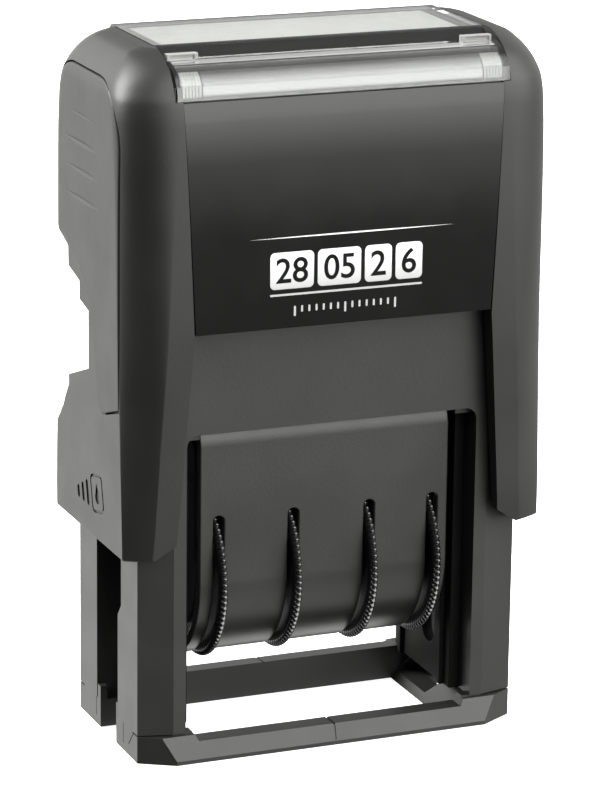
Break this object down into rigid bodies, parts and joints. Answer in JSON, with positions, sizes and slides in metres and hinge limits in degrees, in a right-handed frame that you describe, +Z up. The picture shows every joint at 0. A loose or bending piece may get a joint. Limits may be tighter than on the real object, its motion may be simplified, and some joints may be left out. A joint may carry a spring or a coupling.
{
  "type": "rotary date stamp",
  "caption": "Self-inking date stamp: a sprung cap pushes a slotted dater with thumb-wheel date bands from its ink pad, over half a turn, down to the paper.",
  "frame": {"origin": "middle of the foot ring's underside, on the paper", "axes": "+Z up along the cap's stroke, +X to the right seen from the front, +Y to the back, where the ink cartridge comes out"},
  "size_m": [0.0556, 0.0296, 0.088],
  "materials": {
    "cap_plastic": "satin moulded",
    "grip_plastic": "fine matt texture",
    "frame_plastic": "satin moulded",
    "shroud_plastic": "satin moulded",
    "dater_plastic": "satin moulded",
    "wheel_plastic": "satin moulded",
    "cartridge_plastic": "satin moulded",
    "label_gloss": "high gloss",
    "card_paper": "smooth card",
    "window_clear": "clear moulded plastic",
    "band_rubber": "matt",
    "pad_rubber": "matt",
    "ink_felt": "ink soaked felt",
    "bright_steel": "drawn wire and pins"
  },
  "bodies": {
    "frame": {"frame_body": "frame_plastic", "cam_plate_left": "frame_plastic", "cam_plate_right": "frame_plastic", "foot_ring": "frame_plastic", "foot_pads": "pad_rubber", "return_spring_left": "bright_steel", "return_spring_right": "bright_steel"},
    "cap": {"cap_shell": "cap_plastic", "grip_panel_left": "grip_plastic", "grip_panel_right": "grip_plastic", "front_label": "label_gloss", "card_tray": "cap_plastic", "index_card": "card_paper", "push_arm_left": "cap_plastic", "push_arm_right": "cap_plastic"},
    "window": {"window_cap": "window_clear"},
    "cartridge": {"ink_cartridge": "cartridge_plastic", "ink_pad": "ink_felt"},
    "dater": {"dater_cheek_left": "dater_plastic", "dater_cheek_right": "dater_plastic", "dater_shroud": "shroud_plastic", "wheel_axle": "bright_steel", "type_anvil": "dater_plastic", "detent_comb": "dater_plastic", "trunnion_pins": "bright_steel", "day_band": "band_rubber", "month_band": "band_rubber", "decade_band": "band_rubber", "year_band": "band_rubber"},
    "turning_day_wheel": {"day_wheel": "wheel_plastic"},
    "turning_month_wheel": {"month_wheel": "wheel_plastic"},
    "turning_decade_wheel": {"decade_wheel": "wheel_plastic"},
    "turning_year_wheel": {"year_wheel": "wheel_plastic"}
  },
  "joints": [
    {"name": "cap_press", "type": "slide", "parent": "frame", "child": "cap", "axis": [0, 0, -1], "range_m": [0, 0.0224], "stiffness_N_per_m": 1300, "springref_m": -0.006, "deforming": ["return_spring_left", "return_spring_right"]},
    {"name": "dater_flip", "type": "hinge", "parent": "cap", "child": "dater", "pos_m": [0, -0.0017, 0.032], "axis": [1, 0, 0], "range_deg": [0, 180.5]},
    {"name": "window_lift", "type": "slide", "parent": "cap", "child": "window", "axis": [0, 0, 1], "range_m": [0, 0.012]},
    {"name": "cartridge_slide", "type": "slide", "parent": "frame", "child": "cartridge", "axis": [0, 1, 0], "range_m": [0, 0.03]},
    {"name": "day_set", "type": "hinge", "parent": "dater", "child": "turning_day_wheel", "pos_m": [0, -0.0006, 0.0212], "axis": [1, 0, 0], "continuous": true},
    {"name": "month_set", "type": "hinge", "parent": "dater", "child": "turning_month_wheel", "pos_m": [0, -0.0006, 0.0212], "axis": [1, 0, 0], "continuous": true},
    {"name": "decade_set", "type": "hinge", "parent": "dater", "child": "turning_decade_wheel", "pos_m": [0, -0.0006, 0.0212], "axis": [1, 0, 0], "continuous": true},
    {"name": "year_set", "type": "hinge", "parent": "dater", "child": "turning_year_wheel", "pos_m": [0, -0.0006, 0.0212], "axis": [1, 0, 0], "continuous": true}
  ],
  "couplings": [
    {"joint": "dater_flip", "follows": "cap_press", "rad_per_m": 140.25}
  ]
}
